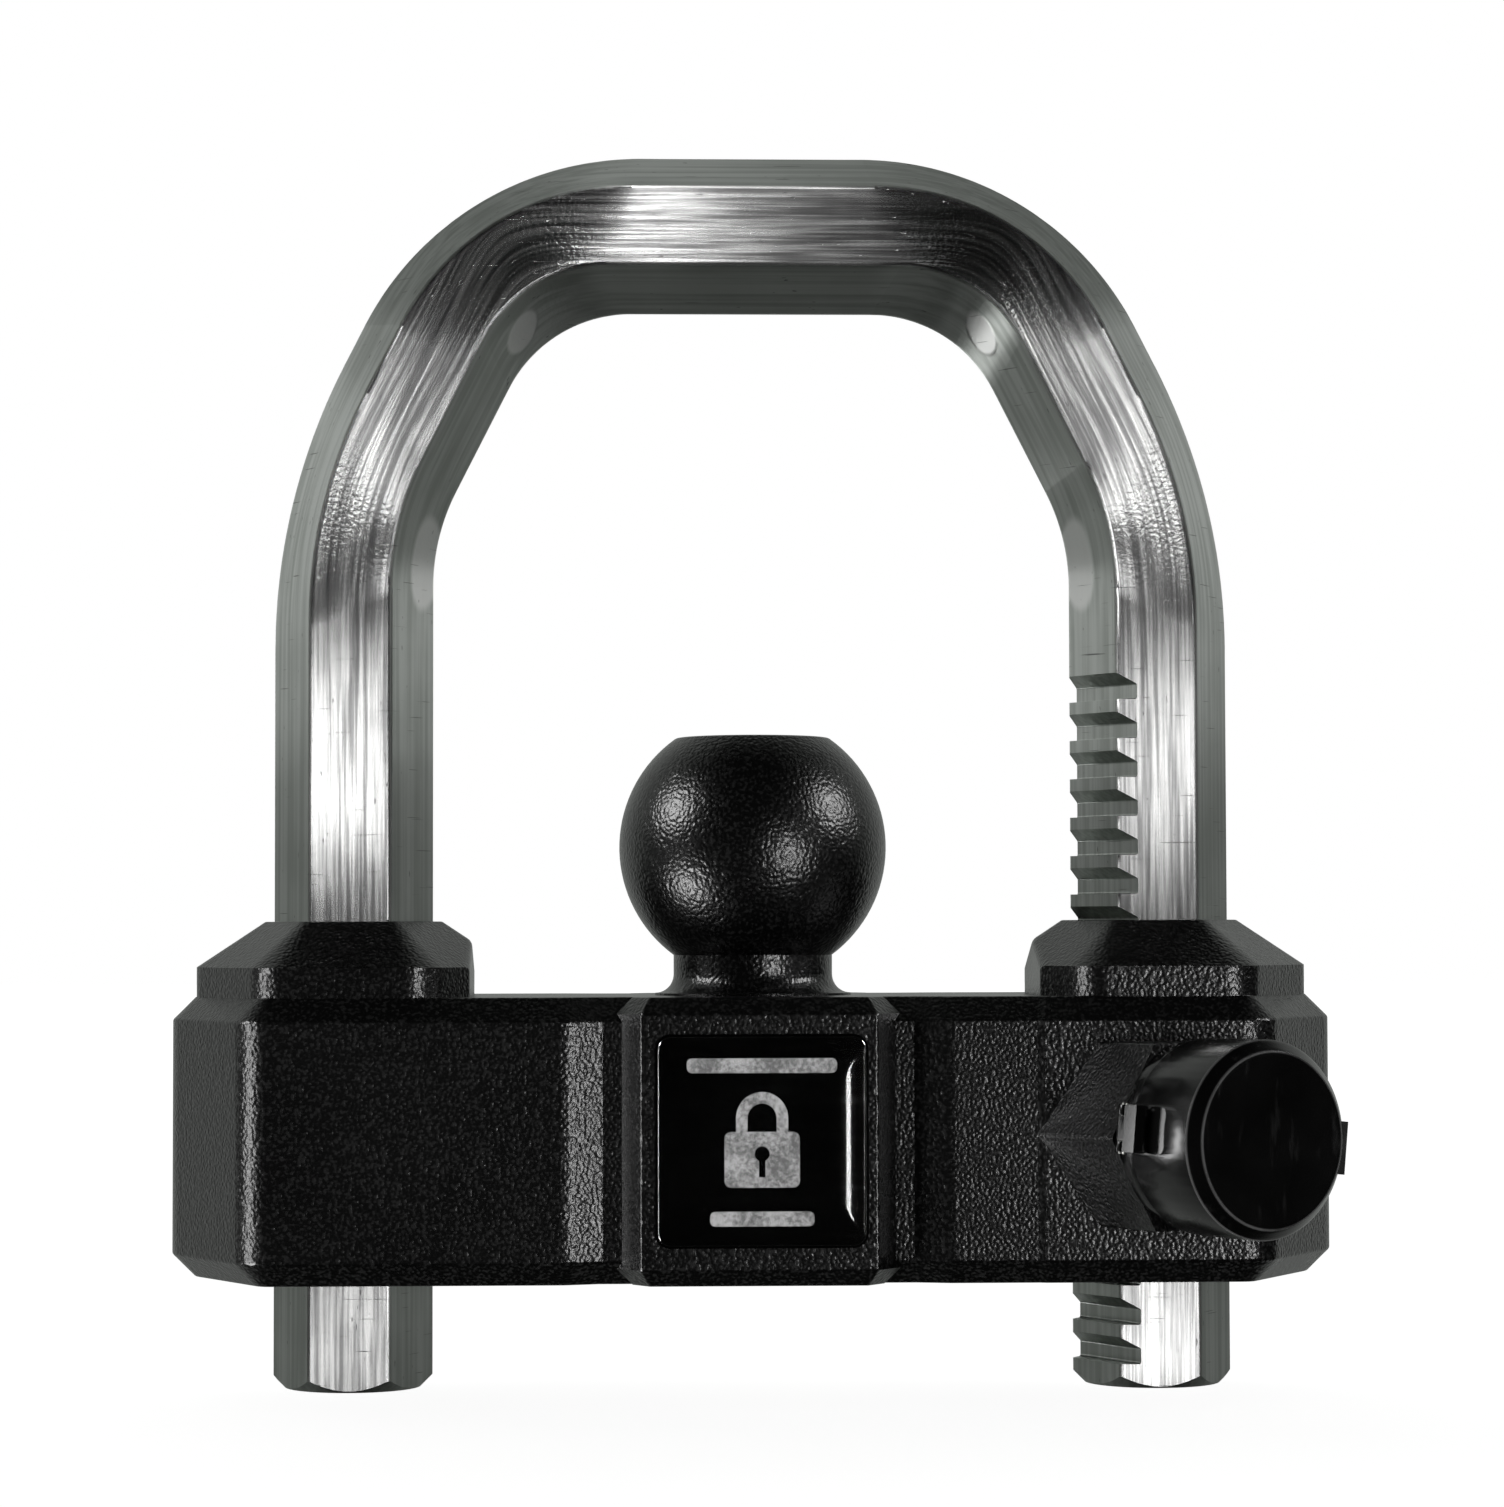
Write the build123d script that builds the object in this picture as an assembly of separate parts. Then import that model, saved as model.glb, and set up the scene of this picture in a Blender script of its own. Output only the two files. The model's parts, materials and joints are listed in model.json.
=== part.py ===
from build123d import *
import os
from math import cos, radians, sin, sqrt, tan

# A universal trailer coupler lock: a steel body with a tow ball that stands in an unhitched coupler's
# socket, and a hexagonal-bar shackle that closes over the coupler and is held by a ratchet pawl.
# Millimetres. +X is to the right seen from the label side, +Y to the back, +Z up along the shackle's
# travel. The origin is the centre of the tow ball, midway between the shackle's two legs.

# ---- Tow ball ----
BALL_R = 24.0
BALL_FLAT_Z = 19.7
NECK_R = 14.25
FLARE_R = 17.6
SHANK_R = 10.0
SHANK_LENGTH = 30.0
BALL_SCREW_R = 6.0
BALL_SCREW_HEAD_R = 9.0
BALL_SCREW_HEAD_H = 8.4
BALL_SCREW_SINK = 0.6           # the head sits this far inside the body's underside
BALL_WASHER_R = 8.8
BALL_WASHER_T = 2.2
BALL_SCREW_GRIP = 18.0          # how far the screw reaches up into the shank
BALL_SCREW_HOLE = 20.0
BALL_SCREW_KEY = 10.0           # the head's hexagonal socket, across flats
BALL_RIM_R = 1.2
FOOT_EDGE = 0.4                 # the flare's upright edge

# ---- Body ----
BODY_TOP = -26.5
BODY_BOTTOM = -76.3
BODY_CHAMFER = 4.1
LEG_X = 71.6                    # distance of each leg's centre from the ball's axis
LOBE_HALF = 29.2                # the lobes are hexagons round the legs, this far across flats, halved
TIP_R = 10.0                    # the rounded corner at each end of the body
LOBE_CORNER_R = 7.0
VALLEY_HALF = 27.0
VALLEY_FOOT_X = 27.0            # the waist's floor ends here, and its slopes here
VALLEY_TOP_X = 33.0
VALLEY_R = 7.0
PAD_START_X = 49.6              # the lock's pad starts with a small step
PAD_STEP = 0.45
PAD_STEP_RUN = 1.3
BOSS_HALF = 31.6                # half depth over the label boss
BOSS_FACE_X = 20.4
BOSS_FOOT_X = 23.7
BOSS_CHAMFER = 2.9
CAST_EDGE_R = 0.7               # the coated casting's edges are this soft
COLLAR_HALF = 25.2              # collar's base, half across flats
COLLAR_INNER_X = 50.4
COLLAR_SHOULDER = -21.3
COLLAR_TOP = -13.2
COLLAR_TOP_HALF = 14.0
COLLAR_CORNER_R = 7.0
COLLAR_TOP_CORNER_R = 2.5
COLLAR_CUT_R = 1.8

# ---- Shackle: a bent hexagonal bar with its flats to the front and back ----
BAR_FLATS = 24.8
BAR_CORNER = BAR_FLATS / 2 / cos(radians(30))
BAR_EDGE_R = 1.0
LEG_END = -96.0
KNEE_Z = 59.5                   # where the legs' centrelines meet the slanting runs'
SHOULDER_X = 45.6
TOP_Z = 110.7
END_CHAMFER_R = 12.1
HOLE_FLATS = BAR_FLATS + 0.6
# Bend radii of the bar's four outlines, from the outer corner through the two face edges to the inner
# corner: the outside of each bend is stretched loose and the inside is pressed tight.
KNEE_RADII = {1.0: 114.0, 0.5: 90.0, -0.5: 50.0, -1.0: 38.0}
SHOULDER_RADII = {1.0: 56.0, 0.5: 46.0, -0.5: 24.0, -1.0: 25.0}

# ---- Ratchet teeth in the right leg's inner front facet ----
PITCH = 6.93
NOTCHES = 18
FIRST_NOTCH_TOP = 30.8
NOTCH_DEPTH = 3.2
NOTCH_RISE = 2.0                # height of the slanting upper flank
NOTCH_DROP = 4.75               # from the notch's top edge to its level lower flank
NOTCH_ROOT_R = 0.4

# ---- Lock: everything below sits on one slanting axis, parallel to the toothed facet ----
LOCK_ANGLE = 30.0
LOCK_X = 69.7                   # where the axis crosses the plane of the lobe's front face
LOCK_Z = -50.3
HEX_BOSS_FLATS = 32.0
HEX_BOSS_R = 0.8
HEX_BOSS_END = 10.3             # distances along the axis are from that plane, outwards
SHELL_R = 8.5
SHELL_REAR = -11.8
SHELL_FLANGE_R = 10.6
FLANGE_BACK = 13.3
FLANGE_FRONT = 14.6
PLUG_R = 6.0
PLUG_REAR = -7.9
PLUG_FRONT = 14.1
JOURNAL_R = 3.8
CLIP_GROOVE_R = 3.2
CLIP_R = 5.6
CLIP_Z = -11.5
CLIP_T = 0.8
TAIL_R = 3.5
TAIL_END = -16.7
STUB_R = 1.8
STUB_FLAT = 1.2                 # the stub's flat lies this far from the axis
STUB_LENGTH = 2.6
CRANK = 2.3                     # the cam pin's distance from the axis
CRANK_PIN_R = 1.0
CRANK_PIN_END = -20.2
WAFERS = 6
WAFER_PITCH = 2.6
WAFER_T = 1.0
WAFER_HALF = 2.5                # half width, and half height as the key holds them
WAFER_REACH = 5.4
WAFER_SLOT_GAP = 0.1
WAFER_EYE_HALF = 1.1
WAFER_EYE_REACH = 4.0
KEY_HALF = 0.8
KEY_REACH = 3.9
SHELL_SLOT_HALF = 2.7
SHELL_SLOT_REACH = 7.2
FIRST_WAFER_Z = 10.0
ROLL_PIN_R = 1.25
ROLL_PIN_X = 7.7
ROLL_PIN_Z = 6.2
RING_SEAL_R = 9.28
RING_SEAL_WIRE = 0.7
FIT = 0.05                      # radial clearance of turning and seated round fits

# ---- Pawl: slides square to the toothed facet, in a pocket that opens into the leg's hole ----
PAWL_FACE = 3.55
PAWL_BACK = -7.0
PAWL_FRONT_Z = -16.83
PAWL_WIDTH = 14.0
PAWL_LOW = -7.3
PAWL_HIGH = 5.6
POCKET_GAP = 0.1
POCKET_END = -16.0
TOOTH_REACH = 3.2               # how far the teeth stand out of the pawl's face
TOOTH_TOP = 2.2
SPRING_Z = -25.6
SPRING_R = 3.4
SPRING_WIRE_R = 0.5
SPRING_HOLE_R = 4.2
SPRING_SEAT = -3.0
SPRING_TURNS = 6

# ---- Dust cap and its hinge ring ----
CAP_ROLL = -6.0                 # the ring is clocked a little on the boss
CAP_R = 16.85
CAP_WALL = 1.9
CAP_REAR = 13.5
CAP_RIM = 28.3
CAP_FRONT = 30.4
CAP_FACE_R = 14.95
DISH_DEPTH = 0.45
RING_R = 16.5
RING_NECK_R = 14.2
RING_NECK_END = 16.0
HINGE_X = -17.5
HINGE_Z = 12.2
HINGE_PIN_R = 0.6
KNUCKLE_R = 1.15
KNUCKLE_HALF = 2.1
BLOCK_HALF = 4.0
BLOCK_END = 16.8
RELIEF_END = 22.4
TAB_X = 17.9
TAB_HALF = 4.5
TAB_T = 1.8
CAP_FACE_T = 2.2
RELIEF_CORNER_R = 1.8

# ---- Label ----
LABEL_SIZE = 36.7
LABEL_CORNER = 2.6
LABEL_X = 0.4
LABEL_Z = -51.2
FOIL_T = 0.4
PRINT_T = 0.06
DOME_T = 1.3
DOME_MARGIN = 0.4               # the drop stops short of the foil's edge
DOME_EDGE_R = 1.1

SCREW_SEAT = BODY_BOTTOM + BALL_SCREW_SINK + BALL_SCREW_HEAD_H
LOCK = Plane(
    origin=(LOCK_X, -LOBE_HALF, LOCK_Z),
    x_dir=(cos(radians(LOCK_ANGLE)), sin(radians(LOCK_ANGLE)), 0),
    z_dir=(sin(radians(LOCK_ANGLE)), -cos(radians(LOCK_ANGLE)), 0),
).location
CAP = LOCK * Rot(0, 0, CAP_ROLL)


def hexagon(across_flats, corner_r=0.0):
    """A hexagon with flats to the front and back, and rounded corners."""
    shape = RegularPolygon(across_flats / 2, 6, major_radius=False)
    return fillet(shape.vertices(), corner_r) if corner_r else shape


def rod(radius, low, high, x=0.0, y=0.0):
    """A round rod along Z from low to high."""
    return Pos(x, y, low) * Cylinder(radius, high - low, align=(Align.CENTER, Align.CENTER, Align.MIN))


def block(x0, x1, y0, y1, z0, z1):
    """A box between two corners."""
    return Pos(x0, y0, z0) * Box(x1 - x0, y1 - y0, z1 - z0, align=(Align.MIN, Align.MIN, Align.MIN))


def prism(shape, low, high):
    """A flat shape carried from low to high along Z."""
    return extrude(Pos(0, 0, low) * shape, amount=high - low)


# ---- Body ----
def beam():
    """The long bar of the body: two hexagonal lobes with a shallow waist between them."""
    half_flat = LOBE_HALF * tan(radians(30))
    tip = LEG_X + LOBE_HALF / cos(radians(30))
    low_half = LOBE_HALF - PAD_STEP
    front = [
        (-tip, 0),
        (-LEG_X - half_flat, -LOBE_HALF),
        (-VALLEY_TOP_X, -LOBE_HALF),
        (-VALLEY_FOOT_X, -VALLEY_HALF),
        (VALLEY_FOOT_X, -VALLEY_HALF),
        (VALLEY_TOP_X, -low_half),
        (PAD_START_X - PAD_STEP_RUN, -low_half),
        (PAD_START_X, -LOBE_HALF),
        (LEG_X + half_flat, -LOBE_HALF),
        (tip, 0),
    ]
    back = [(x, -y) for x, y in reversed(front[1:-1])]
    outline = Polygon(*front, *back, align=None)
    for x, corner_r in ((tip, TIP_R), (LEG_X + half_flat, LOBE_CORNER_R), (VALLEY_TOP_X, VALLEY_R)):
        corners = outline.vertices().filter_by(lambda v: abs(abs(v.X) - x) < 0.1)
        outline = fillet(corners, corner_r)
    bar = prism(outline, BODY_BOTTOM, BODY_TOP)
    ends = bar.edges().group_by(Axis.Z)
    bar = chamfer(ends[0] + ends[-1], BODY_CHAMFER)
    return fillet(bar.edges().filter_by(is_level), CAST_EDGE_R)


def is_level(edge):
    return edge.bounding_box().size.Z < 0.01


def label_boss():
    """The raised pad in the middle of the body, front and back."""
    slope = (BOSS_HALF - VALLEY_HALF) / (BOSS_FOOT_X - BOSS_FACE_X)
    foot_x = BOSS_FOOT_X + 1
    foot_y = VALLEY_HALF - slope
    corners = [(-foot_x, -foot_y), (-BOSS_FACE_X, -BOSS_HALF), (BOSS_FACE_X, -BOSS_HALF), (foot_x, -foot_y)]
    corners += [(x, -y) for x, y in reversed(corners)]
    pad = prism(Polygon(*corners, align=None), BODY_BOTTOM, BODY_TOP)
    ends = pad.edges().group_by(Axis.Z)
    pad = chamfer(ends[0] + ends[-1], BOSS_CHAMFER)
    near = pad.edges().filter_by(lambda e: abs(e.center().X) < foot_x - BOSS_CHAMFER - 0.5)
    return fillet(near, CAST_EDGE_R)


def collar(side):
    """The hexagonal collar round one leg, cut straight on its inner side."""
    base = hexagon(2 * COLLAR_HALF, COLLAR_CORNER_R)
    top = hexagon(2 * COLLAR_TOP_HALF, COLLAR_TOP_CORNER_R)
    skirt = prism(base, BODY_TOP - 10, COLLAR_SHOULDER)
    crown = loft([Pos(0, 0, COLLAR_SHOULDER) * base, Pos(0, 0, COLLAR_TOP) * top], ruled=True)
    inner = block(-40, COLLAR_INNER_X - LEG_X, -40, 40, BODY_TOP - 20, COLLAR_TOP + 5)
    shape = skirt + crown - inner
    cut = shape.faces().sort_by(Axis.X)[0]
    shape = fillet(cut.edges().filter_by(lambda e: e.center().Z > BODY_TOP - 6), COLLAR_CUT_R)
    shape = fillet(shape.edges().group_by(Axis.Z)[-1], CAST_EDGE_R)
    if side < 0:
        shape = shape.mirror(Plane.YZ)
    return Pos(side * LEG_X, 0, 0) * shape


def lock_bores():
    """The cylinder's stepped bore, its roll pin hole and the pawl's pocket, in the lock's own axes."""
    bores = rod(SHELL_R + FIT, SHELL_REAR - 0.05, HEX_BOSS_END + 1)
    bores += rod(TAIL_R + FIT, -PAWL_WIDTH - 6, SHELL_REAR)
    bores += rod(RING_SEAL_R + RING_SEAL_WIRE + 0.02, HEX_BOSS_END - 2, HEX_BOSS_END + 1)
    pin = Rot(90, 0, 0) * rod(ROLL_PIN_R + 0.02, -9, HEX_BOSS_FLATS)
    bores += Pos(ROLL_PIN_X, 0, ROLL_PIN_Z) * pin
    low = PAWL_LOW - POCKET_GAP
    high = PAWL_HIGH + POCKET_GAP
    back = PAWL_FRONT_Z - PAWL_WIDTH - POCKET_GAP
    bores += block(POCKET_END, PAWL_FACE + 2, low, high, back, PAWL_FRONT_Z + POCKET_GAP)
    return bores


def lock_body():
    body = beam() + label_boss() + collar(-1) + collar(1)
    hex_boss = prism(hexagon(HEX_BOSS_FLATS, HEX_BOSS_R), -12, HEX_BOSS_END)
    body += LOCK * hex_boss
    for side in (-1, 1):
        body -= Pos(side * LEG_X, 0, 0) * prism(hexagon(HOLE_FLATS), BODY_BOTTOM - 5, COLLAR_TOP + 5)
    body -= LOCK * lock_bores()
    shank_bottom = BODY_TOP - SHANK_LENGTH
    body -= rod(SHANK_R + FIT, shank_bottom - 0.2, BODY_TOP + 1)
    body -= rod(BALL_SCREW_R + 0.2, BODY_BOTTOM, shank_bottom)
    body -= rod(BALL_SCREW_HEAD_R + 0.4, BODY_BOTTOM - 1, SCREW_SEAT + BALL_WASHER_T)
    return body


# ---- Tow ball and its screw ----
def tow_ball():
    """A flat-topped ball on a flared neck, with a shank let into the body."""
    flat_r = sqrt(BALL_R**2 - BALL_FLAT_Z**2)
    neck_z = -sqrt(BALL_R**2 - NECK_R**2)
    flare = FLARE_R - NECK_R
    foot = BODY_TOP + FOOT_EDGE
    shank_bottom = BODY_TOP - SHANK_LENGTH
    profile = Polyline((0, shank_bottom), (0, BALL_FLAT_Z), (flat_r, BALL_FLAT_Z))
    profile += ThreePointArc((flat_r, BALL_FLAT_Z), (BALL_R, 0), (NECK_R, neck_z))
    profile += Line((NECK_R, neck_z), (NECK_R, foot + flare))
    bend = flare * (1 - cos(radians(45)))
    profile += ThreePointArc((NECK_R, foot + flare), (NECK_R + bend, foot + bend), (FLARE_R, foot))
    profile += Polyline(
        (FLARE_R, foot), (FLARE_R, BODY_TOP), (SHANK_R, BODY_TOP), (SHANK_R, shank_bottom), (0, shank_bottom)
    )
    ball = revolve(Plane.XZ * make_face(profile), Axis.Z)
    rim = ball.edges().filter_by(GeomType.CIRCLE).filter_by(lambda e: abs(e.center().Z - BALL_FLAT_Z) < 0.01)
    ball = fillet(rim, BALL_RIM_R)
    return ball - rod(BALL_SCREW_R + FIT, shank_bottom - 1, shank_bottom + BALL_SCREW_HOLE)


def ball_screw():
    """A socket-head cap screw that pulls the ball's shank down into the body."""
    head_end = SCREW_SEAT - BALL_SCREW_HEAD_H
    head = rod(BALL_SCREW_HEAD_R, head_end, SCREW_SEAT)
    head = chamfer(head.edges().group_by(Axis.Z)[0], 0.8)
    screw = head + rod(BALL_SCREW_R, SCREW_SEAT, BODY_TOP - SHANK_LENGTH + BALL_SCREW_GRIP)
    return screw - prism(hexagon(BALL_SCREW_KEY), head_end, SCREW_SEAT - 3)


def ball_washer():
    """The split lock washer under the screw's head."""
    washer = rod(BALL_WASHER_R, SCREW_SEAT, SCREW_SEAT + BALL_WASHER_T)
    washer -= rod(BALL_SCREW_R + 0.3, SCREW_SEAT - 1, SCREW_SEAT + BALL_WASHER_T + 1)
    split = block(-0.5, 0.5, 0, BALL_WASHER_R + 1, SCREW_SEAT - 3, SCREW_SEAT + BALL_WASHER_T + 3)
    return washer - Pos(0, 0, SCREW_SEAT + 1) * Rot(0, 25, 0) * Pos(0, 0, -SCREW_SEAT - 1) * split


# ---- Shackle ----
def mitre(corner, before, after, distance):
    """The corner of a line set off by distance from one that turns at corner, with these two normals."""
    a = Vector(before)
    b = Vector(after)
    return Vector(corner) + (a + b) * (distance / (1 + a.dot(b)))


def bar_side(share):
    """One side of the bar's outline, from the left leg's end to the right's."""
    distance = share * BAR_CORNER
    lean = Vector(LEG_X - SHOULDER_X, TOP_Z - KNEE_Z).normalized()
    slant = (-lean.Y, lean.X)
    knee = mitre((-LEG_X, KNEE_Z), (-1, 0), slant, distance)
    shoulder = mitre((-SHOULDER_X, TOP_Z), slant, (0, 1), distance)
    left = [(-LEG_X - distance, LEG_END), (knee.X, knee.Y), (shoulder.X, shoulder.Y)]
    points = left + [(-x, y) for x, y in reversed(left)]
    knee_r = KNEE_RADII[share]
    shoulder_r = SHOULDER_RADII[share]
    return FilletPolyline(*points, radius=[knee_r, shoulder_r, shoulder_r, knee_r])


def bar_section(share, depth):
    """The bar's outline at one depth, as a face, with share of the width it has across its corners."""
    outer = bar_side(share)
    inner = bar_side(-share)
    ends = [Line(outer @ 1, inner @ 1), Line(inner @ 0, outer @ 0)]
    wire = Wire(outer.edges() + inner.edges() + [e.edge() for e in ends])
    return Plane.XZ.offset(depth) * make_face(wire.edges())


def notch_profile():
    """One ratchet notch: a slanting upper flank, an upright root and a level lower flank."""
    face = BAR_FLATS / 2
    root = face - NOTCH_DEPTH
    out = 2.0
    lift = NOTCH_RISE / NOTCH_DEPTH * out
    points = [(root, -NOTCH_RISE), (root, -NOTCH_DROP), (face + out, -NOTCH_DROP), (face + out, lift)]
    shape = Polygon(*points, align=None)
    return fillet(shape.vertices().filter_by(lambda v: abs(v.X - root) < 0.01), NOTCH_ROOT_R)


def long_edges(bar):
    """The bar's edges that run along it, which are those that lie at one depth."""
    return bar.edges().filter_by(lambda e: abs(e.bounding_box().size.Y) < 0.01 and e.center().Z > LEG_END + 1)


def shackle():
    front = bar_section(0.5, BAR_FLATS / 2)
    middle = bar_section(1.0, 0)
    back = bar_section(0.5, -BAR_FLATS / 2)
    bar = loft([front, middle, back], ruled=True)
    bar = fillet(long_edges(bar), BAR_EDGE_R)
    height = BAR_CORNER - END_CHAMFER_R + 0.5
    cone = Cone(END_CHAMFER_R, BAR_CORNER + 0.5, height, align=(Align.CENTER, Align.CENTER, Align.MIN))
    trim = rod(BAR_CORNER + 3, 0, height) - cone
    for side in (-1, 1):
        bar -= Pos(side * LEG_X, 0, LEG_END) * trim
    # The notches run square to the lock's axes: X is away from the facet, Y up, Z along the facet.
    facet = Plane(
        origin=(LEG_X, 0, 0),
        x_dir=(-cos(radians(LOCK_ANGLE)), -sin(radians(LOCK_ANGLE)), 0),
        z_dir=(-sin(radians(LOCK_ANGLE)), cos(radians(LOCK_ANGLE)), 0),
    ).location
    for i in range(NOTCHES):
        notch = Pos(0, FIRST_NOTCH_TOP - PITCH * i, 0) * notch_profile()
        bar -= facet * extrude(notch, amount=BAR_FLATS, both=True)
    return bar


# ---- Lock cylinder ----
def cylinder_shell():
    """The fixed shell of the lock cylinder, with a head flange that clamps the cap's ring."""
    rear_wall = PLUG_REAR - 0.1
    shell = rod(SHELL_R, SHELL_REAR, FLANGE_BACK) + rod(SHELL_FLANGE_R, FLANGE_BACK, FLANGE_FRONT)
    shell = chamfer(shell.edges().group_by(Axis.Z)[-1], 0.4)
    shell -= rod(PLUG_R + FIT, rear_wall, FLANGE_FRONT + 1)
    shell -= rod(JOURNAL_R + FIT, SHELL_REAR - 1, rear_wall)
    shell -= rod(CLIP_R + 0.3, SHELL_REAR - 1, CLIP_Z + CLIP_T + 0.1)
    last = FIRST_WAFER_Z - WAFER_PITCH * (WAFERS - 1)
    slot = (-SHELL_SLOT_HALF, SHELL_SLOT_HALF, -SHELL_SLOT_REACH, SHELL_SLOT_REACH)
    shell -= block(*slot, last - 1.5, FIRST_WAFER_Z + 1.5)
    pin = Rot(90, 0, 0) * rod(ROLL_PIN_R + 0.02, -9, HEX_BOSS_FLATS)
    return LOCK * (shell - Pos(ROLL_PIN_X, 0, ROLL_PIN_Z) * pin)


def lock_plug():
    """The turning plug: keyway, wafer slots, rear journal with a clip groove, and a flatted stub."""
    stub_end = SHELL_REAR - STUB_LENGTH
    plug = rod(PLUG_R, PLUG_REAR, PLUG_FRONT) + rod(JOURNAL_R, SHELL_REAR + 0.1, PLUG_REAR)
    plug -= rod(JOURNAL_R + 1, CLIP_Z, CLIP_Z + CLIP_T) - rod(CLIP_GROOVE_R, CLIP_Z, CLIP_Z + CLIP_T)
    plug += rod(STUB_R, stub_end, SHELL_REAR + 0.1) - block(STUB_FLAT, 3, -3, 3, stub_end, SHELL_REAR + 0.1)
    plug -= block(-KEY_HALF, KEY_HALF, -KEY_REACH, KEY_REACH, PLUG_REAR + 2, PLUG_FRONT)
    for i in range(WAFERS):
        z = FIRST_WAFER_Z - WAFER_PITCH * i
        half = WAFER_T / 2 + WAFER_SLOT_GAP
        side = WAFER_HALF + WAFER_SLOT_GAP
        plug -= block(-side, side, -PLUG_R, PLUG_R, z - half, z + half)
    return LOCK * plug


def wafers():
    """The tumbler wafers, drawn in as the right key holds them."""
    plates = []
    for i in range(WAFERS):
        z = FIRST_WAFER_Z - WAFER_PITCH * i
        outer = (-WAFER_HALF, WAFER_HALF, -WAFER_REACH, WAFER_REACH)
        eye = (-WAFER_EYE_HALF, WAFER_EYE_HALF, -WAFER_EYE_REACH, WAFER_EYE_REACH)
        plates.append(block(*outer, z - WAFER_T / 2, z + WAFER_T / 2) - block(*eye, z - 1, z + 1))
    return LOCK * Compound(children=plates)


def plug_clip():
    """The open retaining ring behind the shell's rear wall."""
    ring = rod(CLIP_R, CLIP_Z + 0.05, CLIP_Z + CLIP_T - 0.05)
    ring -= rod(CLIP_GROOVE_R + 0.05, CLIP_Z - 1, CLIP_Z + CLIP_T + 1)
    return LOCK * (ring - block(-1.5, 1.5, 0, CLIP_R + 1, CLIP_Z - 1, CLIP_Z + CLIP_T + 1))


def tail_cam():
    """The tailpiece on the plug's stub: its crank pin draws the pawl back."""
    top = SHELL_REAR + 0.05
    reach = CRANK * cos(radians(45))
    floor = SHELL_REAR - STUB_LENGTH - 0.2
    hole = rod(STUB_R + FIT, floor, top + 1) - block(STUB_FLAT + FIT, 3, -3, 3, floor, top + 1)
    cam = rod(TAIL_R, TAIL_END, top) - hole
    return LOCK * (cam + rod(CRANK_PIN_R, CRANK_PIN_END, TAIL_END, reach, -reach))


def shell_pin():
    """The roll pin driven up through the hexagonal boss into the shell's side."""
    tube = rod(ROLL_PIN_R, -8, HEX_BOSS_FLATS / 2 - 0.6) - rod(ROLL_PIN_R * 0.55, -9, HEX_BOSS_FLATS)
    return LOCK * (Pos(ROLL_PIN_X, 0, ROLL_PIN_Z) * Rot(90, 0, 0) * tube)


def shell_seal():
    """The rubber ring in the mouth of the cylinder's bore."""
    return LOCK * (Pos(0, 0, HEX_BOSS_END - 1) * Torus(RING_SEAL_R, RING_SEAL_WIRE))


# ---- Pawl ----
def pawl():
    """A sliding block with two ratchet teeth, level below and slanting above."""
    back = PAWL_FRONT_Z - PAWL_WIDTH
    shape = block(PAWL_BACK, PAWL_FACE, PAWL_LOW, PAWL_HIGH, back, PAWL_FRONT_Z)
    engaged = [i for i in range(NOTCHES) if abs(notch_floor(i) - LOCK_Z + NOTCH_DROP / 2) < PITCH]
    for i in engaged:
        low = notch_floor(i) - LOCK_Z + 0.1
        slope = NOTCH_RISE / NOTCH_DEPTH * TOOTH_REACH
        tip = PAWL_FACE + TOOTH_REACH
        points = [(PAWL_FACE, low), (tip, low), (tip, low + TOOTH_TOP), (PAWL_FACE, low + TOOTH_TOP + slope)]
        shape += prism(Polygon(*points, align=None), back, PAWL_FRONT_Z)
    push_wall = CRANK * cos(radians(45)) - CRANK_PIN_R - 0.2
    shape -= block(push_wall, PAWL_FACE + 5, -3.7, -0.3, CRANK_PIN_END - 0.3, PAWL_FRONT_Z)
    shape -= Pos(0, 0, SPRING_Z) * Rot(0, 90, 0) * rod(SPRING_HOLE_R, PAWL_BACK, SPRING_SEAT)
    return LOCK * shape


def notch_floor(i):
    """Height of notch i's level lower flank."""
    return FIRST_NOTCH_TOP - PITCH * i - NOTCH_DROP


def pawl_spring():
    """The coil spring that pushes the pawl's teeth into the leg."""
    length = SPRING_SEAT - POCKET_END - 2 * SPRING_WIRE_R - 0.2
    path = Helix(length / SPRING_TURNS, length, SPRING_R)
    wire = sweep(Plane(path @ 0, z_dir=path % 0) * Circle(SPRING_WIRE_R), path=path, is_frenet=True)
    start = POCKET_END + SPRING_WIRE_R + 0.1
    return LOCK * (Pos(start, 0, SPRING_Z) * Rot(0, 90, 0) * wire)


# ---- Dust cap ----
def hinge_axis_rod(radius, low, high):
    """A round rod along the cap's hinge axis."""
    return Pos(HINGE_X, 0, HINGE_Z) * Rot(90, 0, 0) * rod(radius, low, high)


def cap_ring():
    """The ring clamped under the cylinder's flange: a neck the cap closes over, and two hinge ears."""
    face = FLANGE_BACK - 0.05
    ring = rod(RING_R, HEX_BOSS_END, face) + rod(RING_NECK_R, HEX_BOSS_END, RING_NECK_END)
    ears = block(HINGE_X, -RING_NECK_R, -BLOCK_HALF, BLOCK_HALF, HINGE_Z - KNUCKLE_R, face)
    ring += ears + hinge_axis_rod(KNUCKLE_R, -BLOCK_HALF, BLOCK_HALF)
    ring -= rod(SHELL_FLANGE_R + 0.3, face, RING_NECK_END + 1)
    ring -= rod(SHELL_R + FIT, HEX_BOSS_END - 1, FLANGE_BACK)
    gap = KNUCKLE_HALF + 0.1
    ring -= block(HINGE_X - 5, HINGE_X + 2, -gap, gap, HEX_BOSS_END - 1, HINGE_Z + 5)
    return CAP * (ring - hinge_axis_rod(HINGE_PIN_R + FIT, -9, 9))


def hinge_pin():
    return CAP * hinge_axis_rod(HINGE_PIN_R, -BLOCK_HALF - 0.3, BLOCK_HALF + 0.3)


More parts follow.
